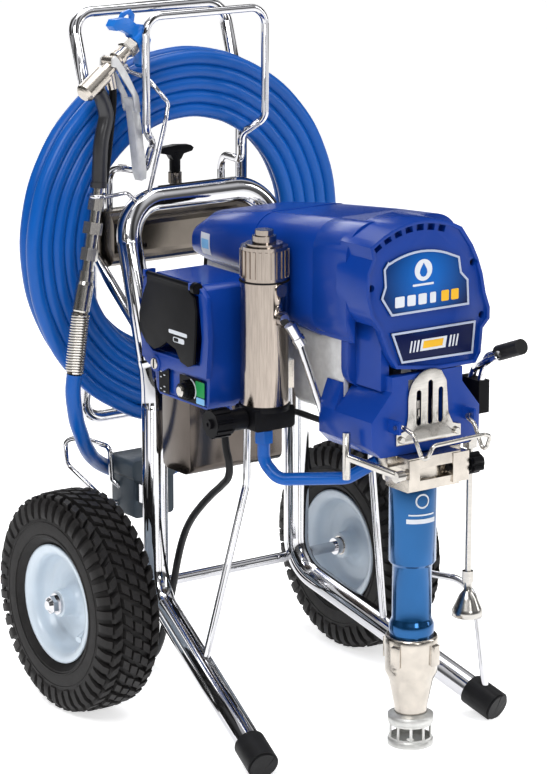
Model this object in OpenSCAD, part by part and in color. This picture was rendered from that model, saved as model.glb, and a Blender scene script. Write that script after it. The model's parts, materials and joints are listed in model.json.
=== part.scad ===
// Cart-mounted electric airless paint sprayer with a hanging hose coil and a stored spray gun.
// Millimetres. +Z is up, +X runs along the wheel axle towards the right-hand wheel, and -Y is the
// front, where the pump stands. The origin is on the floor, under the middle of the machine.

/* [Wheels] */
// outside diameter of a tyre
tyre_d = 330; // [300:5:360]
// width of a tyre
tyre_w = 95; // [80:1:120]
// diameter of a wheel's rim flange
rim_d = 178; // [160:1:200]
// distance between the two wheels' middle planes
track = 516; // [460:2:560]
// diameter of the axle bar
axle_d = 16; // [12:1:20]

/* [Frame] */
// outside diameter of the main frame tube
frame_d = 38; // [30:1:44]
// diameter of the rear handle tube
handle_d = 19; // [16:1:25]
// diameter of the hose rack's rod
rack_d = 12; // [8:1:16]
// outside diameter of a foot cap
cap_d = 46; // [42:1:52]

/* [Pump] */
// diameter of the pump's upper sleeve
sleeve_d = 67; // [56:1:76]
// diameter of the piston rod
rod_d = 22; // [16:1:26]
// distance of the crank pin from the crank's axis
crank_throw = 20; // [10:1:24]
// diameter of the inlet strainer
strainer_d = 65; // [50:1:72]

/* [Filter] */
// diameter of the fluid filter's bowl
filter_d = 68; // [50:1:80]

/* [Hose and gun] */
// outside diameter of the paint hose
hose_d = 23; // [12:1:26]
// outside radius of the hose coil
coil_r = 288; // [240:2:320]
// inside radius of the hose coil
coil_ri = 170; // [140:2:200]
// thickness of the hose coil along its axis
coil_t = 56; // [46:2:80]

/* [Power cord] */
// diameter of the mains cord
cord_d = 11; // [8:0.5:14]
// radius of the stored coil at the middle of its turns
cord_coil_r = 60; // [55:1:90]

/* [Hidden] */
$fn = 48;
rod_fn = 24;
fit = 0.05;
gap = 0.3;
seam = 0.06;

// the floor point under the axle's middle lies this far behind the origin
axle_y = 213.2;
axle_f = 25;
wheel_r = tyre_d / 2;
wheel_x = track / 2;
hub_end = 36;

// main frame: uprights, feet and the backward lean
up_x = 130;
up_f = 38;
knee_z = 156;
foot_x = 209;
foot_f = 428;
foot_z = 20.5;
lean_z = 478;
top_f = -42;
top_z = 737;

// power unit, measured from its pump axis
pump_f = 496;
motor_z = 655;
crank_z = 608;
pinion_r = 13;
gear_r = motor_z - crank_z - pinion_r - gap;
pin_z = crank_z - crank_throw;
filter_x = -130;
filter_f = 322;
valve_z = 490;
coil_f = -78;
coil_z = 672;

// gun: the tail end of its barrel, the way it faces and how far its barrel rises
gun_tail = [-213, -10, 910];
gun_turn = 12;
gun_rise = 33;

// mains cord: from the gland under the control box down past the left upright to the floor
cord_points = [
    [-150, 252, 452], [-150, 256, 430], [-147, 259, 408], [-143, 252, 388], [-138, 228, 368],
    [-134, 196, 346], [-130, 160, 318], [-125, 126, 288], [-118, 96, 254], [-111, 70, 212],
    [-104, 48, 170], [-96, 22, 122], [-87, -6, 80], [-78, -32, 46], [-71, -58, 21],
    [-67, -80, 9], [-66, -100, 6]
];
cord_coil_at = [-126, -148, 1];
cord_coil_w = 3 * cord_d;
cord_coil_h = 4 * cord_d;
plug_end = -153;
plug_f = -202;
plug_z = 59.2;

// hose tail: from the spring guard under the gun, down behind the tool box and up into the coil
tail_points = [
    [-241.4, -4, 500], [-243, -6, 474], [-239, -9, 448], [-231, -16, 424], [-219, -25, 402],
    [-204, -39, 380], [-186, -56, 361], [-164, -76, 343], [-140, -91, 327], [-111, -98, 312],
    [-80, -100, 301], [-46, -99, 296], [-10, -98, 301], [26, -97, 313], [60, -95, 332],
    [88, -92, 356], [112, -88, 383], [134, -84, 412]
];
// hose lead: from the outlet fitting under the motor back to the coil
lead_points = [
    [48, 76, 487], [48, 60, 487], [47, 44, 484], [44, 28, 476], [38, 12, 464], [28, -3, 450], [14, -17, 436],
    [-4, -30, 424], [-25, -41, 414]
];

chrome = [0.82, 0.83, 0.85];
steel = [0.66, 0.64, 0.62];
blue = [0.06, 0.14, 0.55];
hose_blue = [0.07, 0.32, 0.70];
black = [0.06, 0.06, 0.07];
grey = [0.30, 0.34, 0.40];
casting = [0.78, 0.78, 0.78];

function along(v) = v / norm(v);
function turn(a, b, c) = 180 - acos(along(a - b) * along(c - b));
function setback(a, b, c, r) = r * tan(turn(a, b, c) / 2);
function place(at, x, z) = let (y = cross(z, x))
    [[x[0], y[0], z[0], at[0]], [x[1], y[1], z[1], at[1]], [x[2], y[2], z[2], at[2]], [0, 0, 0, 1]];
function sideways(z) = along(abs(z[2]) < 0.9 ? cross([0, 0, 1], z) : cross([1, 0, 0], z));
function at_f(p) = [p[0], -p[1], p[2]];
function round_trip(pts) = concat(pts, [for (i = [len(pts) - 1:-1:0]) [-pts[i][0], pts[i][1], pts[i][2]]]);

// everything is drawn with the axle above y = 0 and moved back here
module on_cart() {
    translate([0, axle_y, 0])
        children();
}

// a straight bar between two points
module bar(a, b, r) {
    z = along(b - a);
    multmatrix(place(a, sideways(z), z))
        cylinder(h = norm(b - a), r = r);
}

// the elbow of a bent tube at b; its ends reach a little way into the straight bars
module elbow(a, b, c, r, bend) {
    s = setback(a, b, c, bend);
    start = b + along(a - b) * s;
    finish = b + along(c - b) * s;
    centre = b + along(along(a - b) + along(c - b)) * bend / cos(turn(a, b, c) / 2);
    x = along(start - centre);
    extra = 0.4 / bend * 180 / PI;
    multmatrix(place(centre, x, along(cross(x, finish - centre))))
        rotate([0, 0, -extra])
            rotate_extrude(angle = turn(a, b, c) + 2 * extra)
                translate([bend, 0])
                    circle(r - seam);
}

// a bent bar through points, with one bend radius for each inner point
module bent(pts, r, bends) {
    n = len(pts);
    for (i = [0:n - 2]) {
        a = i == 0 ? pts[0]
            : pts[i] + along(pts[i + 1] - pts[i]) * setback(pts[i - 1], pts[i], pts[i + 1], bends[i - 1]);
        b = i == n - 2 ? pts[n - 1]
            : pts[i + 1] + along(pts[i] - pts[i + 1]) * setback(pts[i], pts[i + 1], pts[i + 2], bends[i]);
        bar(a, b, r);
    }
    for (i = [1:n - 2])
        elbow(pts[i - 1], pts[i], pts[i + 1], r, bends[i - 1]);
}

// the same with the front-facing measure first turned into -Y
module bent_f(pts, r, bends) {
    bent([for (p = pts) at_f(p)], r, bends);
}

// one closed tube swept along points, for a cord or hose
module swept(pts, r, sides) {
    n = len(pts);
    q = [for (p = pts) at_f(p)];
    rings = [for (i = [0:n - 1])
        let (z = along(q[min(i + 1, n - 1)] - q[max(i - 1, 0)]),
             x = along([1, 0.35, 0] - z * ([1, 0.35, 0] * z)),
             y = cross(z, x))
        for (k = [0:sides - 1])
            q[i] + r * (x * cos(360 * k / sides) + y * sin(360 * k / sides))];
    walls = [for (i = [0:n - 2]) for (k = [0:sides - 1])
        [i * sides + k, (i + 1) * sides + k, (i + 1) * sides + (k + 1) % sides, i * sides + (k + 1) % sides]];
    ends = [[for (k = [0:sides - 1]) k], [for (k = [sides - 1:-1:0]) (n - 1) * sides + k]];
    polyhedron(points = rings, faces = concat(walls, ends), convexity = 6);
}

// a solid of revolution around an axis along X, from [radius, x] points
module spun_x(pts) {
    rotate([0, 90, 0])
        rotate_extrude()
            polygon(pts);
}

// a round bar along X, Y or Z from a centre point of its low end
module disc_x(x, f, z, r, h) {
    translate([x, -f, z])
        rotate([0, 90, 0])
            cylinder(h = h, r = r);
}

module disc_f(x, f, z, r, h) {
    translate([x, -f, z])
        rotate([90, 0, 0])
            cylinder(h = h, r = r);
}

module disc_z(x, f, z, r, h) {
    translate([x, -f, z])
        cylinder(h = h, r = r);
}

// a hexagonal nut along Z
module hex_z(x, f, z, across, h) {
    translate([x, -f, z])
        cylinder(h = h, r = across / sqrt(3), $fn = 6);
}

// a block between two corners given as [x, front, z]
module block(a, b) {
    translate([a[0], -b[1], a[2]])
        cube([b[0] - a[0], b[1] - a[1], b[2] - a[2]]);
}

// a rounded upright slab: an outline in X and Z, pushed forward from f1 to f2
module slab_f(f1, f2) {
    translate([0, -f1, 0])
        rotate([90, 0, 0])
            linear_extrude(height = f2 - f1)
                children();
}

// an outline in F and Z, pushed along X from x1 to x2
module slab_x(x1, x2) {
    translate([x1, 0, 0])
        rotate([90, 0, -90])
            mirror([0, 0, 1])
                linear_extrude(height = x2 - x1)
                    children();
}

function arc(cx, cy, r, a1, a2, n) = [for (i = [0:n]) [cx + r * cos(a1 + (a2 - a1) * i / n), cy + r * sin(a1 + (a2 - a1) * i / n)]];
function rounded(x1, y1, x2, y2, r, n = 6) = concat(
    arc(x2 - r, y2 - r, r, 0, 90, n), arc(x1 + r, y2 - r, r, 90, 180, n),
    arc(x1 + r, y1 + r, r, 180, 270, n), arc(x2 - r, y1 + r, r, 270, 360, n));

// ---- cart ----

hoop = [
    [-foot_x, foot_f, foot_z], [-up_x + 1, up_f, knee_z], [-up_x, up_f, lean_z], [-up_x, top_f, top_z]
];
hoop_bends = [62, 240, 62, 62, 240, 62];

module frame_hoop() {
    color(chrome)
        on_cart()
            difference() {
                bent_f(round_trip(hoop), frame_d / 2, hoop_bends);
                disc_x(-up_x - 40, axle_f, wheel_r, axle_d / 2, 2 * (up_x + 40));
            }
}

module foot_caps() {
    reach = 46;
    color(black)
        on_cart()
            for (s = [-1, 1]) {
                knee = at_f([s * (up_x - 1), up_f, knee_z]);
                toe = at_f([s * foot_x, foot_f, foot_z]);
                d = along(toe - knee);
                difference() {
                    union() {
                        bar(toe - d * reach, toe + d * 4, cap_d / 2);
                        bar(toe, toe + d * 7, cap_d / 2 - 3);
                    }
                    bar(toe - d * (reach + 1), toe, frame_d / 2);
                    translate([s * foot_x - 60, -foot_f - 60, -20])
                        cube([120, 120, 20]);
                }
            }
}

// braces under the motor, its rear stays, and the pail rest on the right leg
module frame_rods() {
    color(chrome)
        on_cart() {
            for (s = [-1, 1]) {
                bent_f([[s * 110, 252, 546], [s * 112, 252, 372], [s * 163, 218, 102]], 5.5, [60]);
                bar(at_f([s * 127, 18, 552]), at_f([s * 50, 128, 572]), 8);
            }
            bent_f([[172, 268, 86], [172, 268, 196], [196, 392, 204], [205, 412, 38]], 5.5, [40, 44]);
        }
}

// the axle bar with its spacer collars, and an end nut for each wheel
module axle() {
    color(chrome)
        on_cart() {
            disc_x(-wheel_x - hub_end - 14, axle_f, wheel_r, axle_d / 2, 2 * (wheel_x + hub_end + 14));
            for (s = [-1, 1]) {
                disc_x(s * (wheel_x - hub_end - 5.5) - 5, axle_f, wheel_r, 13, 10);
                translate([s * (wheel_x + hub_end + 0.4), -axle_f, wheel_r])
                    rotate([0, s * 90, 0])
                        difference() {
                            union() {
                                cylinder(h = 3, r = 16);
                                cylinder(h = 13, r = 12 / cos(30), $fn = 6);
                                translate([0, 0, 13])
                                    cylinder(h = 5, r1 = 11, r2 = 7);
                            }
                            translate([0, 0, -1])
                                cylinder(h = 14.6 + gap, r = axle_d / 2);
                        }
            }
        }
}

// tyre: round shoulders, an open inside that seats on the rim
module tyre(s) {
    h = tyre_w / 2;
    color(black)
        on_cart()
            translate([s * wheel_x, -axle_f, wheel_r])
                spun_x(concat(
                    [[77, -h + 15], [90.6, -h + 12], [99, -h + 3]],
                    [[118, -h], [136, -h + 2], [149, -h + 9], [159, -h + 20], [164, -h + 32], [wheel_r, 0]],
                    [[164, h - 32], [159, h - 20], [149, h - 9], [136, h - 2], [118, h]],
                    [[99, h - 3], [90.6, h - 12], [77, h - 15]],
                    [[84, h - 17], [118, h - 6], [134, h - 8], [147, h - 22], [152, 0]],
                    [[147, 22 - h], [134, 8 - h], [118, 6 - h], [84, 17 - h]]));
}

module rim(s) {
    r = rim_d / 2;
    color([0.72, 0.80, 0.88])
        on_cart()
            translate([s * wheel_x, -axle_f, wheel_r]) {
                spun_x([
                    [r, 39], [r, 36], [79, 34.5], [76.6, 31], [76.6, 13], [70, 7], [70, -7], [76.6, -13],
                    [76.6, -31], [79, -34.5], [r, -36], [r, -39], [86, -39.5], [76, -36], [72.5, -30],
                    [71, -18], [64, -7], [42, -3.5], [27, -8], [21, -16], [20, -hub_end], [15, -hub_end],
                    [15, hub_end], [20, hub_end], [21, 16], [27, 8], [42, 3.5], [64, 7], [71, 18],
                    [72.5, 30], [76, 36], [86, 39.5]
                ]);
                // valve stem
                rotate([s < 0 ? 128 : 52, 0, 0])
                    translate([s * 4, 0, 52])
                        rotate([0, s * 62, 0])
                            cylinder(h = 34, r = 5, $fn = rod_fn);
            }
}

module bearings(s) {
    color(steel)
        on_cart()
            translate([s * wheel_x, -axle_f, wheel_r])
                for (t = [-1, 1])
                    rotate([0, t * 90, 0])
                        difference() {
                            union() {
                                translate([0, 0, 18])
                                    cylinder(h = hub_end - 18, r = 15);
                                translate([0, 0, hub_end])
                                    cylinder(h = 0.3, r = 13);
                            }
                            translate([0, 0, 10])
                                cylinder(h = 40, r = axle_d / 2 + fit);
                        }
}

back_loop = [[-70, -154, 384], [-136, -154, 384], [-136, -122, 540], [-136, -118, 850], [-136, -168, 1004]];
back_bends = [34, 130, 90, 34, 34, 90, 130, 34];

module back_frame() {
    color(chrome)
        on_cart() {
            bent_f(round_trip(back_loop), handle_d / 2, back_bends);
            disc_x(-71, -154, 384, handle_d / 2 - seam, 142);
            // arms forward to the main frame
            for (s = [-1, 1])
                bar(at_f([s * 136, -119, 652]), at_f([s * 132, 10, 548]), 8);
        }
}

module hose_rack() {
    color(chrome)
        on_cart() {
            bent_f(round_trip([[-102, -124, 712], [-102, -124, 776], [-86, -48, 780], [-80, -36, 822],
                               [-106, -12, 846], [-106, -12, 1013]]),
                   rack_d / 2, [26, 16, 18, 20, 26, 26, 20, 18, 16, 26]);
        }
}

// the gun's hook on the top bar, and the tie-down hook with its plate behind the left upright
module wire_hooks() {
    color(chrome)
        on_cart() {
            bent_f([[-84, -41, 748], [-69, -20, 850], [-66, -14, 884], [-98, -22, 922], [-126, -28, 934],
                    [-132, -27, 943]],
                   3.5, [20, 14, 24, 4]);
            // ring around the gun's swivel, held by a rod from the top bar
            bent_f([[-112, -32, 738], [-136, -20, 756], [-178, -15, 754.5]], 3, [20]);
            translate(gun_at(22.6, -151.5))
                rotate_extrude()
                    translate([12, 0])
                        circle(3);
            // tie-down loop for the hose and its plate
            bent_f([[-132.5, -60, 272], [-150, -74, 278], [-180, -130, 326], [-180, -134, 362], [-164, -116, 368],
                    [-145, -62, 362], [-144, -59, 312], [-132.5, -56, 300]], 4, [10, 16, 12, 8, 12, 6]);
            block([-129, -14, 286], [-125, 19.5, 314]);
        }
}

module rear_saddle() {
    color([0.20, 0.19, 0.18])
        on_cart()
            difference() {
                union() {
                    difference() {
                        slab_x(-124, 124)
                            polygon(rounded(-136, 630, -76, 716, 24, 6));
                        slab_x(-121, 121)
                            polygon(rounded(-133, 633, -79, 713, 21, 6));
                    }
                    for (s = [-1, 1])
                        block([s * 108 - 12, -78, 668], [s * 108 + 12, -30, 674]);
                    disc_z(0, latch_f, 690, 8.6, 64);
                    disc_z(0, latch_f, 712, 12.5, 6);
                    disc_z(0, latch_f, 746, 10.5, 16);
                }
                disc_z(0, latch_f, 680, 5 + fit, 90);
            }
}

latch_f = -98;

module latch_handle() {
    color(black)
        on_cart() {
            disc_z(0, latch_f, 690, 5, 76);
            disc_z(0, latch_f, 764, 8.5, 28);
            slab_f(latch_f - 7, latch_f + 7)
                polygon([[-7, 782], [7, 782], [12, 790], [27, 793], [30, 798], [25, 802], [0, 804], [-25, 802],
                         [-30, 798], [-27, 793], [-12, 790]]);
        }
}

box_x = [-134, -62];
box_f = [-75, -14];
box_z = [258, 326];
lid_top = 348;

module tool_box() {
    color(grey)
        on_cart()
            difference() {
                slab_f(box_f[0], box_f[1])
                    polygon(rounded(box_x[0], box_z[0], box_x[1], box_z[1], 7, 4));
                slab_f(box_f[0] + 2.5, box_f[1] - 2.5)
                    polygon(rounded(box_x[0] + 2.5, box_z[0] + 2.5, box_x[1] - 2.5, box_z[1] + 20, 5, 4));
            }
}

// the lid turns about its rear lower edge; its skirt runs round the other three sides
module tool_box_lid() {
    out = 3;
    color(grey)
        on_cart()
            difference() {
                slab_f(box_f[0] - 2, box_f[1] + out)
                    polygon(rounded(box_x[0] - out, box_z[1] - 9, box_x[1] + out, lid_top, 8, 4));
                block([box_x[0] - gap, box_f[0] - 10, box_z[1] - 10], [box_x[1] + gap, box_f[1] + gap, box_z[1] + gap]);
                block([box_x[0] + 2, box_f[0] + 2, box_z[1]], [box_x[1] - 2, box_f[1] - 2, lid_top - 3]);
            }
}

// ---- power unit ----

module motor_casting() {
    color(casting)
        on_cart()
            difference() {
                union() {
                    disc_f(0, 92.6, motor_z, 71, 227.4);
                    block([-62, 120, 556], [62, 318, 600]);
                    block([-118, 238, 546], [118, 266, 560]);
                    slab_f(318, 436)
                        polygon(rounded(-76, 498, 76, 732, 22, 5));
                }
                disc_f(0, 98, motor_z, 62, 216);
                disc_f(0, 80, motor_z, 14.05, 20);
                disc_f(0, 310, motor_z, 10 + fit, 20);
                disc_f(0, 319, crank_z, 12 + fit, 20);
                slab_f(326, 437)
                    polygon(rounded(-68, 506, 68, 724, 16, 5));
            }
}

module motor_rotor() {
    color(steel)
        on_cart() {
            disc_f(0, 84, motor_z, 10, 262);
            disc_f(0, 110, motor_z, 50, 190);
            disc_f(0, 331, motor_z, pinion_r, 14);
        }
}

module motor_end_cap() {
    color(black)
        on_cart()
            difference() {
                union() {
                    disc_f(0, 76, motor_z, 66, 16);
                    for (a = [45:90:315])
                        disc_f(56 * cos(a), 70, motor_z + 56 * sin(a), 6, 7);
                }
                disc_f(0, 82, motor_z, 12, 11);
            }
}

module shroud_section(f, half, low, high, r) {
    translate([0, -f, 0])
        rotate([90, 0, 0])
            linear_extrude(height = 1)
                polygon(rounded(-half, low, half, high, r, 8));
}

module shroud() {
    color(blue)
        on_cart()
            difference() {
                union() {
                    hull() {
                        shroud_section(64, 78, 668, 716, 20);
                        shroud_section(110, 90, 662, 742, 34);
                        shroud_section(240, 93, 655, 760, 40);
                    }
                    hull() {
                        shroud_section(228, 92, 655, 758, 40);
                        shroud_section(290, 94, 606, 764, 40);
                        shroud_section(388, 96, 600, 774, 44);
                    }
                }
                // the inside, open below
                disc_f(0, 92.3, motor_z, 71.3, 300);
                block([-74, 60, 590], [74, 226, 690]);
                block([-80, 226, 590], [80, 400, 735]);
                disc_f(0, 60, motor_z, 66.3, 40);
            }
}

// front cover's outline: an arched top, a stepped right side and a narrow foot
cover_outline = concat(
    [[-50, 584], [-64, 606], [-78, 640], [-94, 662], [-102, 690], [-101, 722], [-92, 740]],
    arc(-8, 640, 146, 127, 62, 12),
    [[80, 742], [90, 722], [98, 700], [104, 672], [112, 650], [112, 634], [100, 622], [97, 588], [88, 574],
     [20, 574]]);

module front_cover() {
    color(blue)
        on_cart()
            difference() {
                union() {
                    slab_f(452, 516)
                        polygon(cover_outline);
                    hull() {
                        shroud_section(389, 96, 600, 774, 44);
                        shroud_section(468, 98, 602, 780, 46);
                    }
                    // raised rim around the labels
                    slab_f(516, 521)
                        difference() {
                            polygon(cover_outline);
                            offset(delta = -5)
                                polygon(cover_outline);
                        }
                }
                slab_f(380, 508)
                    polygon(rounded(-82, 560, 82, 752, 30, 6));
                // screw recesses
                for (p = [[-90, 700], [101, 640], [84, 716]])
                    disc_f(p[0], 500, p[1], 5, 30);
                // vent slots under the arch
                for (a = [74:8:122])
                    translate([-8 + 135 * cos(a), -505, 640 + 135 * sin(a)])
                        rotate([0, 90 - a, 0])
                            translate([-6, -15, -4.5])
                                cube([12, 16, 9]);
            }
}

main_label = concat(
    [[-58, 658], [-76, 684], [-70, 700], [-72, 724], [-64, 734]],
    arc(-8, 610, 134, 114, 66, 10),
    [[58, 728], [62, 706], [74, 694], [76, 658]]);
lower_label = [[-40, 590], [-58, 634], [88, 634], [84, 588]];

module cover_labels() {
    color([0.03, 0.08, 0.32])
        on_cart() {
            slab_f(516, 519)
                polygon(main_label);
            slab_f(516, 519)
                polygon(lower_label);
        }
}

module drive_housing() {
    color(blue)
        on_cart()
            difference() {
                union() {
                    slab_f(436, 522)
                        polygon([[-58, 573], [-58, 552], [-92, 514], [-92, 478], [-76, 462], [80, 462], [95, 478],
                                 [95, 514], [64, 552], [64, 573]]);
                    slab_f(436, 507)
                        polygon([[-66, 552], [66, 552], [66, 640], [-66, 640]]);
                    slab_f(400, 436)
                        polygon([[-78, 552], [-92, 516], [-92, 478], [-76, 462], [80, 462], [95, 478], [95, 516], [78, 552]]);
                    // ears of the pail hook
                    block([-64, 520, 498], [-60, 546, 516]);
                    block([66, 520, 498], [70, 546, 516]);
                    // gear boss behind the cover
                    slab_f(436, 451)
                        polygon(rounded(-81, 545, 81, 742, 30, 6));
                }
                // crank and connecting rod space
                slab_f(430, 508)
                    polygon(rounded(-52, 486, 52, 726, 20, 5));
                slab_f(395, 436.3)
                    polygon(rounded(-76.3, 497.7, 76.3, 600, 22, 5));
                disc_z(0, pump_f, 440, 18, 60);
                disc_x(-70, 538, 507, 3 + fit, 150);
                // window behind the slotted guard
                block([-30, 500, 486], [30, 530, 566]);
            }
}

module crank_gear() {
    color(steel)
        on_cart() {
            difference() {
                union() {
                    disc_f(0, 331, crank_z, gear_r, 14);
                    disc_f(0, 320, crank_z, 12, 124);
                    disc_f(0, 436, crank_z, 34, 14);
                }
                disc_f(0, 316, crank_z, 4, 12);
            }
            disc_f(0, 450, pin_z, 9, 34);
        }
}

module connecting_rod() {
    color(casting)
        on_cart()
            difference() {
                union() {
                    disc_f(0, 458, pin_z, 17, 22);
                    block([-9, 460, 548], [9, 478, pin_z]);
                    disc_f(0, 458, 548, 11, 22);
                }
                disc_f(0, 450, pin_z, 9 + fit, 40);
            }
}

module rod_guard() {
    color(steel)
        on_cart()
            slab_f(522.3, 525.3)
                difference() {
                    polygon(concat([[-52, 476], [-52, 492], [-36, 496], [-32, 514], [-32, 540]],
                                   arc(6, 540, 38, 180, 60, 8), [[34, 558], [38, 512], [46, 496], [60, 492], [60, 476]]));
                    for (x = [-14, 6, 24])
                        polygon(rounded(x - 4, 500, x + 4, x == 6 ? 562 : 550, 3.9, 3));
                    for (x = [-44, 52])
                        translate([x, 484])
                            circle(3.2);
                }
}

module pump_clamp() {
    color(steel)
        on_cart()
            difference() {
                union() {
                    disc_z(0, pump_f, 418, 43, 40);
                    block([-48, 496, 414], [42, 546, 428]);
                    block([-48, 500, 446], [42, 548, 461.7]);
                    block([-48, 532, 416], [-30, 550, 460]);
                    block([28, 528, 418], [56, 550, 460]);
                    block([-64, 500, 447], [64, 521, 461.7]);
                }
                disc_z(0, pump_f, 400, sleeve_d / 2, 90);
                disc_x(-50, 541, 438, 6.05, 22);
                disc_x(20, 541, 438, 5.05, 40);
            }
}

module clamp_lever() {
    color(steel)
        on_cart() {
            disc_x(-62, 541, 438, 6, 34);
            bar(at_f([-58, 541, 438]), at_f([-108, 486, 462]), 5.5);
            bar(at_f([-108, 486, 430]), at_f([-108, 486, 496]), 5.5);
            disc_x(-66, 541, 438, 8, 13);
        }
}

module clamp_knob() {
    color(black)
        on_cart()
            difference() {
                union() {
                    disc_x(24, 541, 438, 5, 48);
                    disc_x(60, 541, 438, 11, 22);
                    for (a = [0:60:300])
                        translate([62, -541, 438])
                            rotate([a, 0, 0])
                                translate([0, 0, 11])
                                    rotate([0, 90, 0])
                                        cylinder(h = 17, r = 4.5, $fn = rod_fn);
                }
                disc_x(76, 541, 438, 3, 8);
            }
}

module pump_sleeve() {
    color([0.05, 0.25, 0.52])
        on_cart()
            translate([0, -pump_f, 0])
                rotate_extrude()
                    polygon([
                        [rod_d / 2 + fit, 461.7], [rod_d / 2 + fit, 430], [22, 430], [22, 205], [27, 197],
                        [27, 190], [31, 190], [32, 197], [32, 206], [28, 216], [28, 292], [sleeve_d / 2, 299],
                        [sleeve_d / 2, 452], [30, 456], [17.7, 461.7]
                    ]);
}

module piston_rod() {
    color(steel)
        on_cart() {
            disc_z(0, pump_f, 262, rod_d / 2, 268);
            disc_z(0, pump_f, 262, 22 - fit, 30);
            disc_z(0, pump_f, 508, 13.5, 10);
        }
}

module pump_intake() {
    color([0.72, 0.69, 0.65])
        on_cart()
            difference() {
                union() {
                    translate([0, -pump_f, 0])
                        rotate_extrude()
                            polygon([
                                [27, 189.7], [36, 189.7], [38, 186], [37, 136], [33, 128], [31, 122], [23.5, 84],
                                [23, 76], [12, 76], [12, 100], [20, 130], [27, 150]
                            ]);
                    for (a = [20:90:290])
                        translate([0, -pump_f, 150])
                            rotate([0, 0, a])
                                translate([33, -7, 0])
                                    cube([10, 14, 30]);
                }
                disc_z(0, pump_f, 60, 12, 50);
            }
}

module strainer() {
    r = strainer_d / 2;
    color([0.80, 0.80, 0.80])
        on_cart()
            difference() {
                translate([0, -pump_f, 0])
                    rotate_extrude()
                        polygon([
                            [12.2, 75.7], [12.2, 70], [r - 4, 68], [r - 4, 32], [6, 32], [6, 28], [r, 28], [r, 36], [r - 2, 38],
                            [r - 2, 60], [r, 62], [r, 72], [24, 75.7]
                        ]);
                for (a = [0:36:324])
                    translate([0, -pump_f, 40])
                        rotate([0, 0, a])
                            translate([r - 6, -7.5, 0])
                                cube([8, 15, 18]);
            }
}

module pail_bail() {
    color([0.75, 0.76, 0.72])
        on_cart()
            bent_f([[-66, 538, 507], [-52, 538, 507], [-50, 560, 500], [-46, 580, 460], [-36, 586, 488], [44, 596, 494],
                    [60, 590, 488], [58, 580, 460], [56, 560, 500], [58, 538, 507], [72, 538, 507]],
                   3, [5, 12, 6, 8, 8, 8, 6, 12, 5]);
}

module lift_handle() {
    color(chrome)
        on_cart() {
            block([95.3, 474, 500], [113, 520, 546]);
            bent_f([[104, 512, 540], [104, 526, 582], [104, 590, 606]], 5.5, [18]);
            bent_f([[104, 490, 540], [104, 500, 560], [84, 574, 596]], 5.5, [10]);
        }
}

module lift_grip() {
    color(black)
        on_cart() {
            difference() {
                bar(at_f([104, 552, 591.8]), at_f([104, 600, 609.8]), 11);
                bar(at_f([104, 540, 587.2]), at_f([104, 590, 606]), 5.5);
            }
        }
}

module drain_tube() {
    color(steel)
        on_cart() {
            disc_z(85, 515, 262, 4.5, 196);
            block([78, 508, 452], [92, 522, 469]);
            hex_z(85, 515, 256, 15, 16);
            translate([85, -515, 0])
                rotate_extrude()
                    polygon([[0, 256], [6, 256], [6, 244], [12, 236], [22, 214], [22, 206], [15, 204], [0, 222]]);
        }
}

module drain_line() {
    color(black)
        on_cart() {
            bent_f([[-96, 322, 488], [-78, 322, 488], [-60, 360, 480], [-52, 384, 484]], 4.5, [12, 14]);
            bent_f([[-53, 381, 483.7], [-30, 410, 488], [-6, 440, 452], [0, 446, 440]], 7, [30, 20]);
        }
}

// ---- filter, valve and fluid lines ----

module filter_base() {
    color(black)
        on_cart()
            difference() {
                union() {
                    slab_f(298, 348)
                        polygon(rounded(-164, 474, -96, 506, 5, 3));
                    disc_z(filter_x, filter_f, 500, 36, 8);
                }
                disc_x(-166, filter_f, valve_z, 6.05, 30);
            }
}

module filter_bowl() {
    color(steel)
        on_cart()
            difference() {
                union() {
                    disc_z(filter_x, filter_f, 508.3, filter_d / 2, 176);
                    disc_z(filter_x, filter_f, 683, filter_d / 2 - 1, 50);
                    for (a = [0:15:345])
                        translate([filter_x, -filter_f, 690])
                            rotate([0, 0, a])
                                translate([filter_d / 2 - 2.5, -2.2, 0])
                                    cube([3, 4.4, 38]);
                    disc_z(filter_x, filter_f, 733, 26, 4);
                    disc_z(filter_x, filter_f, 737, 17, 10);
                    disc_z(filter_x, filter_f, 747, 13, 8);
                    // boss for the outlet elbow, and the pressure sensor above it
                    disc_f(filter_x + 3, filter_f + 24, 634, 11, 16);
                    disc_f(filter_x + 3, filter_f + 24, 674, 9, 14);
                }
                disc_z(filter_x, filter_f, 507, 27, 160);
            }
}

module prime_knob() {
    color(black)
        on_cart()
            difference() {
                union() {
                    disc_x(-170, filter_f, valve_z, 6, 30);
                    disc_x(-200, filter_f, valve_z, 15, 33.5);
                    disc_x(-222, filter_f, valve_z, 19, 30);
                    disc_x(-226, filter_f, valve_z, 7, 6);
                    for (a = [0:30:330])
                        translate([-221, -filter_f, valve_z])
                            rotate([a, 0, 0])
                                translate([0, -2.5, 16])
                                    cube([26, 5, 5]);
                }
                disc_x(-228, filter_f, valve_z, 3, 4);
            }
}

module jumper_hose() {
    color(hose_blue)
        on_cart() {
            bent_f([[-134, 326, 473.7], [-134, 326, 424], [-126, 350, 402], [-60, 424, 410], [-34, 462, 440]],
                   9, [24, 26, 30]);
            hex_z(-134, 326, 452, 24, 18);
        }
}

// the hose's outlet block on the casting's underside, with its swivel nut
module outlet_fitting() {
    color(steel)
        on_cart() {
            block([24, 104, 470], [72, 150, 504]);
            block([30, 122, 500], [62, 150, 556]);
            translate([48, -76.3, 487])
                rotate([-90, 0, 0])
                    translate([0, 0, -20])
                        cylinder(h = 20, r = 15 / cos(30), $fn = 6);
            disc_f(48, 90, 487, 9, 20);
        }
}

module outlet_tube() {
    color(chrome)
        on_cart() {
            bent_f([[-127, 361, 634], [-127, 373, 634], [-111, 377, 606]], 8, [7]);
            bar(at_f([-113, 376.5, 609.5]), at_f([-107, 378, 599]), 9.5);
            bar(at_f([-110, 377, 604]), at_f([-86, 402, 500]), 5);
        }
}

// ---- controls ----

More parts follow.
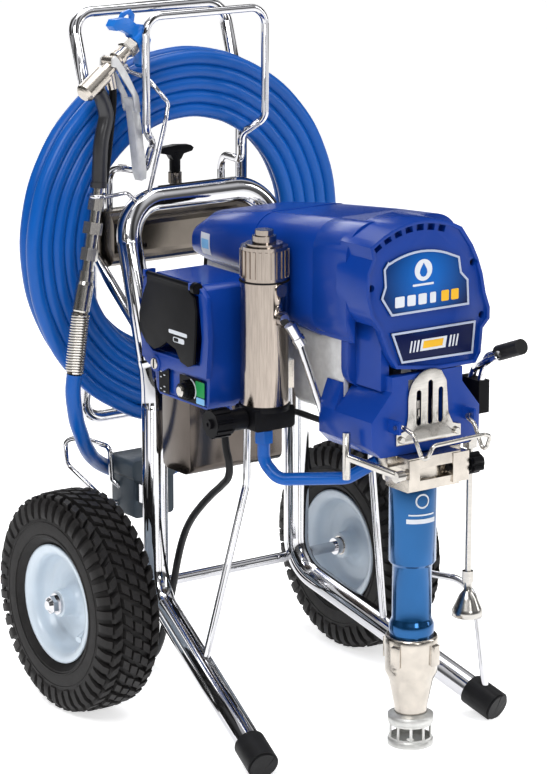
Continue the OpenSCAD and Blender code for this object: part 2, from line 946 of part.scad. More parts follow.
module control_box() {
    color(blue)
        on_cart()
            difference() {
                union() {
                    slab_x(-196, -110)
                        polygon([[132, 566], [140, 548], [148, 504], [156, 497], [276, 497], [282, 508], [284, 566],
                                 [284, 640], [278, 668], [268, 674], [150, 674], [136, 664], [130, 640]]);
                    // face rim that carries the flap
                    slab_x(-204, -196)
                        difference() {
                            polygon([[122, 548], [140, 538], [160, 542], [174, 534], [190, 542], [210, 542],
                                     [286, 545], [292, 600], [286, 660], [270, 672], [146, 672], [128, 662],
                                     [118, 600]]);
                            polygon([[140, 566], [150, 560], [270, 560], [276, 600], [268, 660], [150, 660],
                                     [136, 600]]);
                        }
                    disc_x(-206, 158, 543, 12, 8);
                    // hinge lugs of the flap
                    block([-213, 140, 668], [-195, 146, 678]);
                    block([-213, 256, 668], [-195, 262, 678]);
                    // mount to the motor
                    block([-110, 160, 600], [-69, 226, 640]);
                    // gland of the mains cord
                    disc_z(-150, 252, 476, 11, 24);
                    translate([-150, -252, 452.3])
                        cylinder(h = 28, r1 = 6.5, r2 = 9);
                }
                slab_x(-197, -116)
                    polygon([[152, 562], [272, 562], [274, 640], [262, 658], [156, 658], [140, 640]]);
                // shallow recess of the lower panel
                slab_x(-200, -194)
                    polygon([[156, 500], [276, 500], [276, 538], [156, 538]]);
                // pocket and pin hole of the switch, bore of the pressure knob
                block([-200, 159.7, 503], [-183, 176.3, 535]);
                disc_f(-190, 156, 519, 1.5 + fit, 24);
                disc_x(-200, 236, 519, 4 + fit, 30);
                // hinge pin holes
                disc_f(flap_x, 138, flap_z, 2 + fit, 126);
            }
}

flap_x = -208.6;
flap_z = 673;

module control_flap() {
    color(black)
        on_cart() {
            slab_x(-211, -206.3)
                polygon([[147, 672], [254.5, 672], [254.5, 664], [266, 658], [270, 640], [268, 600], [264, 562], [250, 556],
                         [232, 560], [220, 576], [196, 582], [180, 572], [164, 566], [144, 572], [128, 588],
                         [126, 612], [136, 640], [147, 660]]);
            disc_f(flap_x, 140.5, flap_z, 2, 121);
            disc_f(flap_x, 146.3, flap_z, 3.6, 109.4);
        }
}

module pressure_knob() {
    color(black)
        on_cart() {
            disc_x(-199, 236, 519, 4, 28);
            disc_x(-207, 236, 519, 13, 11);
            disc_x(-214, 236, 519, 11, 8);
        }
}

module power_switch() {
    color(black)
        on_cart() {
            block([-198, 160, 504.4], [-189, 176, 533.6]);
            disc_f(-190, 156.2, 519, 1.5, 23.6);
        }
}

module controller_case() {
    color([0.10, 0.09, 0.09])
        on_cart() {
            difference() {
                slab_x(-148, 16)
                    polygon(rounded(88, 366, 160, 498, 14, 4));
                slab_x(-145, 13)
                    polygon(rounded(91, 369, 157, 495, 11, 4));
            }
            block([-60, 118, 498], [-20, 140, 556]);
        }
}

// ---- gun ----

// a place on the gun: t across from its tail, h up, o out towards the front
function gun_at(t, h, o = 0) = at_f(gun_tail)
    + [t * cos(gun_turn) + o * sin(gun_turn), t * sin(gun_turn) - o * cos(gun_turn), h];
// a place s along the barrel, u above its axis and o out towards the front
function on_barrel(s, u = 0, o = 0) =
    gun_at(s * cos(gun_rise) - u * sin(gun_rise), s * sin(gun_rise) + u * cos(gun_rise), o);
trigger_s = 66;
trigger_u = 8;
tip_s = 134;

// an outline in the gun's own plane, from o1 to o2 across it
module gun_slab(o1, o2) {
    multmatrix(place(at_f(gun_tail), [cos(gun_turn), sin(gun_turn), 0], [sin(gun_turn), -cos(gun_turn), 0]))
        translate([0, 0, o1])
            linear_extrude(height = o2 - o1)
                children();
}

module gun_body() {
    color(steel)
        on_cart() {
            difference() {
                union() {
                    bar(on_barrel(-4), on_barrel(0.5), 12);
                    bar(on_barrel(0), on_barrel(46), 14.5);
                    bar(on_barrel(44), on_barrel(79), 10);
                    bar(on_barrel(trigger_s, trigger_u, -10.3), on_barrel(trigger_s, trigger_u, 10.3), 7);
                    bar(on_barrel(76), on_barrel(86), 13);
                    bar(on_barrel(85), on_barrel(100), 10.5);
                    multmatrix(place(on_barrel(99), on_barrel(0, 1) - on_barrel(0), on_barrel(1) - on_barrel(0)))
                        cylinder(h = 17, r = 15.5, $fn = 6);
                    // handle, with the fluid tube behind it
                    gun_slab(-9, 9)
                        polygon([[10, -8], [20, 8], [34, 20], [50, 26], [58, 14], [62, -23], [54, -53], [46, -94],
                                 [41, -138], [12, -138], [8, -120], [13, -69], [31, -44], [41, -31], [28, -20]]);
                }
                bar(on_barrel(trigger_s, trigger_u, -20), on_barrel(trigger_s, trigger_u, 20), 3 + fit);
            }
            // swivel, adapters and the spring guard over the hose end
            bar(gun_at(25, -134), gun_at(22, -156), 8.5);
            bar(gun_at(22.4, -153), gun_at(18, -175), 12.5);
            bar(gun_at(18.4, -173), gun_at(14, -194), 9);
            bar(gun_at(15, -187), gun_at(10.4, -208), 15);
            bar(gun_at(11, -205), gun_at(6.6, -228), 10.5);
            bar(gun_at(7, -226), gun_at(2.6, -246), 13);
            bar(gun_at(3, -244), gun_at(-4, -274), 8.6);
            bar(gun_at(-1, -260), gun_at(-4.6, -277), 11.4);
            bar(gun_at(-4, -275), gun_at(-15, -320), 13);
            bar(gun_at(-14.6, -318), gun_at(-29, -409.7), 12.4);
        }
}

module gun_trigger() {
    color(steel)
        on_cart() {
            bar(on_barrel(trigger_s, trigger_u, -13), on_barrel(trigger_s, trigger_u, 13), 3);
            for (o = [-13, 10.6])
                gun_slab(o, o + 2.4)
                    polygon([[43, 36], [44, 47], [51, 51], [57, 46], [73, 26], [97, -13], [100, -32], [89, -32],
                             [85, -10], [68, 12], [52, 34]]);
            gun_slab(-13, 13)
                polygon([[86.6, -16], [97.4, -16], [101, -36], [91, -36]]);
            gun_slab(-7, 7)
                polygon([[89, -28], [102, -26], [108, -58], [118, -128], [117, -138], [107, -140], [102, -128],
                         [93, -58]]);
        }
}

// spray guard: a ring on the barrel's nut and a wing above and below the tip
module gun_guard() {
    color([0.10, 0.45, 0.85])
        on_cart()
            difference() {
                union() {
                    bar(on_barrel(116.3), on_barrel(142), 13);
                    gun_slab(-8, 8)
                        rotate(gun_rise)
                            polygon([[118, 0], [118, 16], [106, 34], [96, 40], [94, 50], [104, 54], [126, 40], [134, 22],
                                     [144, 14], [144, -14], [134, -22], [126, -36], [110, -40], [108, -32], [118, -16]]);
                }
                bar(on_barrel(tip_s, 0, -30), on_barrel(tip_s, 0, 30), 5 + fit);
                bar(on_barrel(110), on_barrel(150), 3);
            }
}

// reversible tip: a drilled pin across the guard with a flag handle behind it
module gun_tip() {
    color([0.10, 0.40, 0.80])
        on_cart()
            difference() {
                union() {
                    bar(on_barrel(tip_s, 0, -18), on_barrel(tip_s, 0, 12), 5);
                    bar(on_barrel(tip_s, 0, -18), on_barrel(tip_s, 0, -13.3), 9);
                    gun_slab(-21, -16.6)
                        rotate(gun_rise)
                            translate([tip_s, 0])
                                difference() {
                                    polygon([[-7, -4], [0, -9], [8, -4], [14, 12], [22, 20], [20, 32], [4, 38], [-6, 34]]);
                                    polygon([[0, 16], [10, 18], [14, 24], [12, 30], [2, 31]]);
                                }
                }
                bar(on_barrel(tip_s - 9), on_barrel(tip_s + 9), 1.5);
            }
}

// ---- cords ----

module power_cord() {
    color(black)
        on_cart()
            swept(cord_points, cord_d / 2, 10);
}

// the cord's stored length, a closed ring around its turns
module power_cord_coil() {
    color(black)
        on_cart()
            translate(at_f(cord_coil_at))
                rotate_extrude()
                    translate([cord_coil_r, 0])
                        polygon(rounded(-cord_coil_w / 2, 0, cord_coil_w / 2, cord_coil_h - 1, 5, 3));
}

// the plug lies on the stored coil, with its strain relief towards the cord
module power_plug() {
    color(black)
        on_cart() {
            translate([0, 0, plug_z - 13.5])
                linear_extrude(height = 27)
                    polygon(rounded(plug_end - 44, 185, plug_end, 219, 8, 4));
            translate([plug_end - 1, -plug_f, plug_z])
                rotate([0, 90, 0])
                    cylinder(h = 29, r1 = 9, r2 = 6.3);
        }
}

module hose_coil() {
    color(hose_blue)
        on_cart()
            translate([0, -coil_f, coil_z])
                rotate([90, 0, 0])
                    translate([0, 0, -coil_t / 2])
                        rotate_extrude($fn = 96)
                            polygon(rounded(coil_ri, 0, coil_r, coil_t, 20, 5));
}

module hose_tail() {
    color(hose_blue)
        on_cart()
            swept(tail_points, hose_d / 2, 12);
}

module hose_lead() {
    color(hose_blue)
        on_cart()
            swept(lead_points, hose_d / 2, 12);
}

frame_hoop();
foot_caps();
frame_rods();
axle();
back_frame();
hose_rack();
wire_hooks();
rear_saddle();
latch_handle();
tool_box();
tool_box_lid();
tyre(-1);  // tyre_left
tyre(1);  // tyre_right
rim(-1);  // rim_left
rim(1);  // rim_right
bearings(-1);  // bearings_left
bearings(1);  // bearings_right
motor_casting();
motor_rotor();
motor_end_cap();
shroud();
front_cover();
cover_labels();
drive_housing();
crank_gear();
connecting_rod();
rod_guard();
pump_clamp();
clamp_lever();
clamp_knob();
pump_sleeve();
piston_rod();
pump_intake();
strainer();
pail_bail();
lift_handle();
lift_grip();
drain_tube();
drain_line();
filter_base();
filter_bowl();
prime_knob();
jumper_hose();
outlet_tube();
outlet_fitting();
control_box();
control_flap();
pressure_knob();
power_switch();
controller_case();
gun_body();
gun_trigger();
gun_guard();
gun_tip();
power_cord();
power_cord_coil();
power_plug();
hose_coil();
hose_tail();
hose_lead();
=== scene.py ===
"""Looks of a cart-mounted airless paint sprayer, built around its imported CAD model. Metres."""
import json
import math

import bpy
from mathutils import Matrix, Vector
from mathutils.bvhtree import BVHTree


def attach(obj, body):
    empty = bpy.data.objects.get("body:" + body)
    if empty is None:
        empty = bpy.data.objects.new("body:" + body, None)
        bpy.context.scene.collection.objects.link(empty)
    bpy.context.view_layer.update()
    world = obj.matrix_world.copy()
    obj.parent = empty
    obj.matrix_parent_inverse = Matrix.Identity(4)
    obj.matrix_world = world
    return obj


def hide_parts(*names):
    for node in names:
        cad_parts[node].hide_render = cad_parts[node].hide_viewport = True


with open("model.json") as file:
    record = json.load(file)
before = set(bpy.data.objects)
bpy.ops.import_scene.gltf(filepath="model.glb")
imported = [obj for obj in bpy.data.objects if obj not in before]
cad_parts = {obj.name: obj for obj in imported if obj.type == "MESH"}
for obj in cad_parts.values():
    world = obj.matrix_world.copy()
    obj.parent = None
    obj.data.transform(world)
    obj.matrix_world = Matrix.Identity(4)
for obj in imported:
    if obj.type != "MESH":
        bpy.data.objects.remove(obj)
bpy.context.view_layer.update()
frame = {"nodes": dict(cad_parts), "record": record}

MM = 0.001
AXLE_Y = 213.2


def at(x, f, z):
    """A place given in millimetres as right, forward of the axle and up."""
    return Vector((x * MM, (AXLE_Y - f) * MM, z * MM))


# ---------------------------------------------------------------- camera
camera_data = bpy.data.cameras.new("camera")
camera_data.sensor_width = 36
camera_data.lens = 145.87
camera_data.clip_end = 200
camera = bpy.data.objects.new("camera", camera_data)
camera.location = (-2.58056, -3.59847, 1.58321)
camera.rotation_euler = (math.radians(76.13), 0, math.radians(-35.25))
bpy.context.scene.collection.objects.link(camera)
bpy.context.scene.camera = camera


# ---------------------------------------------------------------- materials
def material(name, colour, metallic=0.0, rough=0.4, vary=0.06, grain=40.0, bump=0.0, coat=0.0,
             second=None, stretch=(1, 1, 1), rough_vary=0.0, shine=0.5):
    """A surface whose colour wanders a little between two shades, with an optional fine grain."""
    mat = bpy.data.materials.new(name)
    mat.use_nodes = True
    nodes, links = mat.node_tree.nodes, mat.node_tree.links
    shader = nodes["Principled BSDF"]
    shader.inputs["Metallic"].default_value = metallic
    shader.inputs["Roughness"].default_value = rough
    shader.inputs["Coat Weight"].default_value = coat
    shader.inputs["Coat Roughness"].default_value = 0.08
    shader.inputs["Specular IOR Level"].default_value = shine
    place = nodes.new("ShaderNodeTexCoord")
    scale = nodes.new("ShaderNodeMapping")
    scale.inputs["Scale"].default_value = stretch
    links.new(place.outputs["Object"], scale.inputs["Vector"])
    noise = nodes.new("ShaderNodeTexNoise")
    noise.inputs["Scale"].default_value = grain
    noise.inputs["Detail"].default_value = 3
    links.new(scale.outputs["Vector"], noise.inputs["Vector"])
    ramp = nodes.new("ShaderNodeValToRGB")
    low = [c * (1 - vary) for c in colour] if second is None else list(second)
    high = [min(1, c * (1 + vary)) for c in colour] if second is None else list(colour)
    ramp.color_ramp.elements[0].position = 0.35
    ramp.color_ramp.elements[0].color = (*low, 1)
    ramp.color_ramp.elements[1].position = 0.65
    ramp.color_ramp.elements[1].color = (*high, 1)
    links.new(noise.outputs["Fac"], ramp.inputs["Fac"])
    links.new(ramp.outputs["Color"], shader.inputs["Base Color"])
    if rough_vary:
        spread = nodes.new("ShaderNodeMapRange")
        spread.inputs["To Min"].default_value = rough - rough_vary
        spread.inputs["To Max"].default_value = rough + rough_vary
        links.new(noise.outputs["Fac"], spread.inputs["Value"])
        links.new(spread.outputs["Result"], shader.inputs["Roughness"])
    if bump:
        fine = nodes.new("ShaderNodeTexNoise")
        fine.inputs["Scale"].default_value = 1400
        links.new(scale.outputs["Vector"], fine.inputs["Vector"])
        lift = nodes.new("ShaderNodeBump")
        lift.inputs["Strength"].default_value = bump
        lift.inputs["Distance"].default_value = 0.0006
        links.new(fine.outputs["Fac"], lift.inputs["Height"])
        links.new(lift.outputs["Normal"], shader.inputs["Normal"])
    return mat


MATS = {
    "chrome_tube": material("chrome", (0.58, 0.58, 0.60), 1.0, 0.07, 0.04, 12, rough_vary=0.02),
    "dark_chrome": material("dark_chrome", (0.16, 0.14, 0.12), 1.0, 0.2, 0.12, 18),
    "rubber_black": material("black_rubber", (0.009, 0.009, 0.010), 0, 0.5, 0.2, 60, 0.25, shine=0.2),
    "tyre_rubber": material("tyre_rubber", (0.011, 0.010, 0.010), 0, 0.6, 0.22, 70, 0.35, shine=0.25),
    "rim_paint": material("rim_paint", (0.56, 0.64, 0.72), 0, 0.3, 0.03, 25, coat=0.1),
    "blue_cover": material("blue_cover", (0.003, 0.036, 0.25), 0, 0.26, 0.08, 8, coat=0.05, shine=0.2),
    "label_film": material("label_film", (0.003, 0.020, 0.12), 0, 0.4, 0.25, 9, shine=0.1),
    "black_plastic": material("black_plastic", (0.004, 0.004, 0.005), 0, 0.4, 0.2, 50, 0.1, shine=0.08),
    "bright_steel": material("bright_steel", (0.50, 0.48, 0.45), 1.0, 0.22, 0.06, 60, stretch=(1, 1, 8)),
    "cast_alloy": material("cast_alloy", (0.60, 0.60, 0.60), 0.5, 0.42, 0.07, 90, 0.5),
    "filter_steel": material("filter_steel", (0.36, 0.31, 0.27), 1.0, 0.17, 0.10, 30, stretch=(14, 14, 1)),
    "nickel": material("nickel", (0.50, 0.46, 0.41), 1.0, 0.22, 0.08, 50, 0.1),
    "blue_anodised": material("blue_anodised", (0.010, 0.085, 0.24), 0.8, 0.18, 0.1, 12, coat=0.2),
    "hose_blue": material("hose_jacket", (0.002, 0.082, 0.36), 0, 0.3, 0.08, 6, shine=0.25),
    "cord_black": material("cord_jacket", (0.006, 0.006, 0.007), 0, 0.42, 0.2, 30, 0.1, shine=0.2),
    "grey_plastic": material("grey_plastic", (0.045, 0.062, 0.080), 0, 0.48, 0.06, 60, 0.2, shine=0.3),
    "guard_blue": material("guard_blue", (0.006, 0.14, 0.52), 0, 0.33, 0.06, 30, shine=0.3),
    "case_bronze": material("case_bronze", (0.10, 0.085, 0.075), 0.95, 0.16, 0.15, 14),
    "strainer_alloy": material("strainer_alloy", (0.60, 0.60, 0.58), 0.7, 0.38, 0.08, 90, 0.4),
}
MARKS = {
    "white": material("white_print", (0.60, 0.63, 0.68), 0, 0.45, 0.03, 30, shine=0.2),
    "border": material("border_print", (0.38, 0.43, 0.55), 0.3, 0.35, 0.05, 30),
    "yellow": material("yellow_print", (0.72, 0.40, 0.02), 0, 0.42, 0.05, 30, shine=0.2),
    "light_blue": material("light_blue_print", (0.18, 0.42, 0.70), 0, 0.42, 0.05, 30, shine=0.2),
    "green": material("green_print", (0.015, 0.26, 0.07), 0, 0.45, 0.08, 30, shine=0.2),
    "grip": material("gun_grip", (0.030, 0.030, 0.033), 0.3, 0.3, 0.1, 30),
    # Painted shade: near-black for the insides of screw recesses, a screw slot and the filter joint.
    "painted_shade": material("painted_shade_inside", (0.006, 0.006, 0.007), 0, 0.7, 0.2, 40, shine=0.1),
}


def glow(mat, centre, radius, middle, edge):
    """Shade a print from one colour in its middle to another round the outside."""
    nodes, links = mat.node_tree.nodes, mat.node_tree.links
    place = nodes.new("ShaderNodeTexCoord")
    fit = nodes.new("ShaderNodeMapping")
    fit.inputs["Scale"].default_value = (1 / radius,) * 3
    fit.inputs["Location"].default_value = tuple(-c / radius for c in centre)
    ball = nodes.new("ShaderNodeTexGradient")
    ball.gradient_type = "SPHERICAL"
    ramp = nodes.new("ShaderNodeValToRGB")
    ramp.color_ramp.elements[0].position = 0.05
    ramp.color_ramp.elements[0].color = (*edge, 1)
    ramp.color_ramp.elements[1].position = 0.8
    ramp.color_ramp.elements[1].color = (*middle, 1)
    links.new(place.outputs["Object"], fit.inputs["Vector"])
    links.new(fit.outputs["Vector"], ball.inputs["Vector"])
    links.new(ball.outputs["Fac"], ramp.inputs["Fac"])
    links.new(ramp.outputs["Color"], nodes["Principled BSDF"].inputs["Base Color"])


glow(MATS["label_film"], at(2, 519, 706), 0.088, (0.004, 0.10, 0.40), (0.002, 0.006, 0.045))

record = frame["record"]
NODE_SLOT = {row["node"]: row["material_slot"] for row in record["subparts"]}

SHARP = math.radians(32)
ROUNDED = {
    "front_cover": 2.2, "drive_housing": 2.0, "control_box": 1.8, "control_flap": 1.0, "tool_box": 1.2,
    "tool_box_lid": 1.4, "motor_casting": 1.5, "filter_base": 1.2, "pump_clamp": 1.2, "controller_case": 1.5,
    "gun_body": 0.9, "gun_trigger": 0.7, "gun_guard": 0.8, "gun_tip": 0.5, "cover_labels": 0.6,
    "power_plug": 1.5, "pump_intake": 1.0, "outlet_fitting": 0.8, "lift_handle": 0.8, "rod_guard": 0.5,
    "power_switch": 0.6, "latch_handle": 0.9,
}


FACETED = ("shroud", "front_cover")


def by_angle():
    """A modifier group that shades smooth across edges flatter than SHARP."""
    group = bpy.data.node_groups.new("smooth_by_angle", "GeometryNodeTree")
    group.interface.new_socket("Geometry", in_out="INPUT", socket_type="NodeSocketGeometry")
    group.interface.new_socket("Geometry", in_out="OUTPUT", socket_type="NodeSocketGeometry")
    nodes, links = group.nodes, group.links
    source, target = nodes.new("NodeGroupInput"), nodes.new("NodeGroupOutput")
    angle = nodes.new("GeometryNodeInputMeshEdgeAngle")
    small = nodes.new("FunctionNodeCompare")
    small.operation = "LESS_EQUAL"
    small.inputs["B"].default_value = SHARP
    links.new(angle.outputs["Unsigned Angle"], small.inputs["A"])
    faces = nodes.new("GeometryNodeSetShadeSmooth")
    faces.domain = "FACE"
    edges = nodes.new("GeometryNodeSetShadeSmooth")
    edges.domain = "EDGE"
    links.new(source.outputs[0], faces.inputs["Geometry"])
    links.new(faces.outputs["Geometry"], edges.inputs["Geometry"])
    links.new(small.outputs["Result"], edges.inputs["Shade Smooth"])
    links.new(edges.outputs["Geometry"], target.inputs[0])
    return group


SMOOTH = by_angle()


def finish_node(name, obj):
    """Material, smooth shading and softened edges of a CAD node, without touching its own mesh."""
    obj.data.materials.clear()
    obj.data.materials.append(MATS[NODE_SLOT[name]])
    weld = obj.modifiers.new("weld", "WELD")
    weld.merge_threshold = 0.00001
    if name in ROUNDED:
        bevel = obj.modifiers.new("bevel", "BEVEL")
        bevel.width = ROUNDED[name] * MM
        bevel.segments = 2
        bevel.limit_method = "ANGLE"
        bevel.angle_limit = math.radians(38)
        bevel.harden_normals = False
    if name in ROUNDED or name in FACETED:
        custom = obj.data.attributes.get("custom_normal")
        if custom:
            obj.data.attributes.remove(custom)
        obj.modifiers.new("smooth", "NODES").node_group = SMOOTH


for node_name, node_obj in frame["nodes"].items():
    finish_node(node_name, node_obj)


# ---------------------------------------------------------------- helpers
def add_mesh(name, verts, faces, mat, body="cart", smooth=True):
    """A piece with its own mesh, material, body and material slot."""
    mesh = bpy.data.meshes.new(name)
    mesh.from_pydata([tuple(v) for v in verts], [], faces)
    mesh.validate()
    mesh.update()
    obj = bpy.data.objects.new(name, mesh)
    bpy.context.scene.collection.objects.link(obj)
    mesh.materials.append(mat)
    if smooth:
        mesh.shade_smooth()
        mesh.set_sharp_from_angle(angle=SHARP)
    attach(obj, body)
    return obj


def turned(r, angle):
    """A flat point at a radius and an angle in radians."""
    return (r * math.cos(angle), r * math.sin(angle))


class Shape:
    """Vertices and faces gathered into one piece."""

    def __init__(self):
        self.verts = []
        self.faces = []

    def add(self, verts, faces):
        start = len(self.verts)
        self.verts += [Vector(v) for v in verts]
        self.faces += [tuple(start + i for i in f) for f in faces]

    def rod(self, a, b, r, sides=24, r2=None):
        """A round bar from a to b."""
        a, b = Vector(a), Vector(b)
        z = (b - a).normalized()
        x = z.orthogonal().normalized()
        y = z.cross(x)
        ring = [x * math.cos(t) + y * math.sin(t) for t in (2 * math.pi * k / sides for k in range(sides))]
        r2 = r if r2 is None else r2
        verts = [a + v * r for v in ring] + [b + v * r2 for v in ring]
        faces = [(k, (k + 1) % sides, (k + 1) % sides + sides, k + sides) for k in range(sides)]
        faces += [tuple(range(sides - 1, -1, -1)), tuple(range(sides, 2 * sides))]
        self.add(verts, faces)

    def sweep(self, points, r, sides=10, closed=False):
        """A round wire through points."""
        points = [Vector(p) for p in points]
        n = len(points)
        axis = Vector((0.31, 0.17, 0.93)).normalized()
        start = len(self.verts)
        for i, p in enumerate(points):
            before = points[(i - 1) % n] if closed or i else p
            after = points[(i + 1) % n] if closed or i < n - 1 else p
            z = (after - before).normalized()
            x = (axis - z * axis.dot(z)).normalized()
            y = z.cross(x)
            for k in range(sides):
                t = 2 * math.pi * k / sides
                self.verts.append(p + (x * math.cos(t) + y * math.sin(t)) * r)
            axis = x
        for i in range(n if closed else n - 1):
            j = (i + 1) % n
            for k in range(sides):
                m = (k + 1) % sides
                self.faces.append((start + i * sides + k, start + i * sides + m,
                                   start + j * sides + m, start + j * sides + k))
        if not closed:
            self.faces.append(tuple(start + k for k in range(sides - 1, -1, -1)))
            self.faces.append(tuple(start + (n - 1) * sides + k for k in range(sides)))

    def block(self, centre, x, y, z):
        """A box round centre with half-size vectors x, y and z."""
        c, x, y, z = Vector(centre), Vector(x), Vector(y), Vector(z)
        verts = [c + x * i + y * j + z * k for i in (-1, 1) for j in (-1, 1) for k in (-1, 1)]
        self.add(verts, [(0, 1, 3, 2), (4, 6, 7, 5), (0, 4, 5, 1), (2, 3, 7, 6), (0, 2, 6, 4), (1, 5, 7, 3)])

    def prism(self, outline, origin, x, y, depth):
        """A flat outline with its own x and y directions, pushed along their cross product."""
        x, y = Vector(x).normalized(), Vector(y).normalized()
        n = x.cross(y) * depth
        base = [Vector(origin) + x * p[0] + y * p[1] for p in outline]
        m = len(outline)
        faces = [tuple(range(m - 1, -1, -1)), tuple(range(m, 2 * m))]
        faces += [(k, (k + 1) % m, (k + 1) % m + m, k + m) for k in range(m)]
        self.add(base + [v + n for v in base], faces)

    def lathe(self, profile, centre, axis, up, sides=64):
        """A closed profile of (radius, along) points turned round an axis."""
        axis, up = Vector(axis).normalized(), Vector(up).normalized()
        side = axis.cross(up)
        start, m = len(self.verts), len(profile)
        for k in range(sides):
            t = 2 * math.pi * k / sides
            out = up * math.cos(t) + side * math.sin(t)
            self.verts += [Vector(centre) + out * r + axis * a for r, a in profile]
        for k in range(sides):
            this = start + k * m
            following = start + (k + 1) % sides * m
            for i in range(m):
                h = (i + 1) % m
                self.faces.append((this + i, this + h, following + h, following + i))

    def make(self, name, mat, body="cart", smooth=True):
        return add_mesh(name, self.verts, self.faces, mat, body, smooth)


def move(outline, dx, dz):
    """An outline moved sideways."""
    return [(x + dx, z + dz) for x, z in outline]


def rounded_rect(w, h, r, n=5):
    """A rectangle's outline round (0, 0) with rounded corners."""
    out = []
    for cx, cy, a in ((w / 2 - r, h / 2 - r, 0), (r - w / 2, h / 2 - r, 90),
                      (r - w / 2, r - h / 2, 180), (w / 2 - r, r - h / 2, 270)):
        out += move([turned(r, math.radians(a + 90 * i / n)) for i in range(n + 1)], cx, cy)
    return out


def circle(r, n=32):
    """A circle's outline round (0, 0)."""
    return [turned(r, 2 * math.pi * i / n) for i in range(n)]


# ---------------------------------------------------------------- hose and mains cord
def smooth_curve(name, points, radius, mat, body="cart"):
    """A round tube of a given radius that runs smoothly through points."""
    curve = bpy.data.curves.new(name, "CURVE")
    curve.dimensions = "3D"
    curve.bevel_depth = radius
    curve.bevel_resolution = 6
    curve.resolution_u = 6
    curve.use_fill_caps = True
    spline = curve.splines.new("BEZIER")
    spline.bezier_points.add(len(points) - 1)
    for point, place in zip(spline.bezier_points, points):
        point.co = place
        point.handle_left_type = "AUTO"
        point.handle_right_type = "AUTO"
    curve.materials.append(mat)
    obj = bpy.data.objects.new(name, curve)
    bpy.context.scene.collection.objects.link(obj)
    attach(obj, body)
    return obj


HOSE_D = 23
TAIL = [(-241.4, -4, 500), (-243, -6, 474), (-239, -9, 448), (-231, -16, 424), (-219, -25, 402),
        (-204, -39, 380), (-186, -56, 361), (-164, -76, 343), (-140, -91, 327), (-111, -98, 312),
        (-80, -100, 301), (-46, -99, 296), (-10, -98, 301), (26, -97, 313), (60, -95, 332),
        (88, -92, 356), (112, -88, 383), (134, -84, 412)]
LEAD = [(48, 76, 487), (48, 60, 487), (47, 44, 484), (44, 28, 476), (38, 12, 464), (28, -3, 450),
        (14, -17, 436), (-4, -30, 424), (-25, -41, 414)]
COIL_Z = 672
COIL_TURN_STEPS = 20
RING_OUT = 276
RING_IN = 182
BACK_F = -94
FRONT_F = -63


def coil_points():
    """Two flat spirals: inwards at the back, then outwards at the front, ten turns in all."""
    points = []
    first, last = -48, -102
    back_turns, front_turns = 5, 5 + (last - first) / 360
    steps = round(back_turns * COIL_TURN_STEPS)
    for i in range(steps + 1):
        t = i / steps
        points.append((first + 360 * back_turns * t, RING_OUT + (RING_IN - RING_OUT) * t, t))
    start = first + 360 * back_turns
    steps = round(front_turns * COIL_TURN_STEPS)
    for i in range(1, steps + 1):
        t = i / steps
        points.append((start + 360 * front_turns * t, RING_IN + (RING_OUT - RING_IN) * t, 1 + t))
    out = []
    for angle, r, t in points:
        a = math.radians(angle)
        cross = min(1, max(0, (t - 0.93) / 0.12))
        cross = cross * cross * (3 - 2 * cross)
        depth = BACK_F + (FRONT_F - BACK_F) * cross
        wave = 1.5 * math.sin(2 * a + 1.1)
        out.append(at(r * math.cos(a), depth + wave, COIL_Z + r * math.sin(a)))
    return out


hose_points = [at(*p) for p in TAIL] + coil_points() + [at(*p) for p in reversed(LEAD)]


def path_length(points):
    """The length of a line through points."""
    return sum((b - a).length for a, b in zip(points, points[1:]))


hose = smooth_curve("paint_hose", hose_points, HOSE_D / 2 * MM, MATS["hose_blue"])
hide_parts("hose_coil", "hose_tail", "hose_lead")

CORD_D = 11
CORD = [(-150, 252, 452), (-150, 256, 430), (-147, 259, 408), (-143, 252, 388), (-138, 228, 368),
        (-134, 196, 346), (-130, 160, 318), (-125, 126, 288), (-118, 96, 254), (-111, 70, 212),
        (-104, 48, 170), (-96, 22, 122), (-87, -6, 80), (-78, -32, 46), (-71, -58, 21),
        (-67, -80, 9), (-66, -100, 6.6)]
CORD_COIL = (-126, -148)
PLUG_F = -202
PLUG_Z = 59.2


def cord_coil_points():
    """Three nested columns of turns, up, down and up again, then off over the top to the plug."""
    layer = CORD_D + 0.15
    low = 6.9
    first, last = 38.7, -90.0
    turns = 10 + (first - last) / 360
    steps = round(turns * 16)
    high = low + 3 * layer
    stops = [(0.0, 71.2, low), (0.25, 71.2, low), (3.25, 71.2, high), (3.6, 60, high), (6.6, 60, low),
             (6.95, 48.8, low), (9.95, 48.8, high), (10.22, 53.5, PLUG_Z), (11, 54, PLUG_Z)]
    out = []
    for i in range(1, steps + 1):
        turn = turns * i / steps
        for (t0, r0, z0), (t1, r1, z1) in zip(stops, stops[1:]):
            if t0 <= turn <= t1:
                s = (turn - t0) / (t1 - t0)
                ease = s * s * (3 - 2 * s) if t1 - t0 < 1 else s
                radius, height = r0 + (r1 - r0) * ease, z0 + (z1 - z0) * ease
                break
        a = math.radians(first - 360 * turn)
        out.append(at(CORD_COIL[0] + radius * math.cos(a), CORD_COIL[1] + radius * math.sin(a), height))
    return out


cord_points = [at(*p) for p in CORD] + cord_coil_points()
cord_points += [at(-138, PLUG_F, PLUG_Z), at(-153, PLUG_F, PLUG_Z)]
mains = smooth_curve("mains_cord", cord_points, CORD_D / 2 * MM, MATS["cord_black"])
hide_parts("power_cord", "power_cord_coil")
print("hose length", round(path_length(hose_points), 3), "cord length", round(path_length(cord_points), 3))


def cord_gland():
    """Strain relief where the mains cord leaves the control box: rings on a taper."""
    shape = Shape()
    for i in range(5):
        r = 0.0088 - 0.0005 * i
        shape.lathe([(0.0052, 0), (r, 0.0006), (r, 0.0032), (0.0052, 0.0038)],
                    at(-150, 252, 470 - 4.6 * i), (0, 0, -1), (1, 0, 0), 24)
    return shape.make("cord_gland", MATS["black_plastic"])


cord_gland()


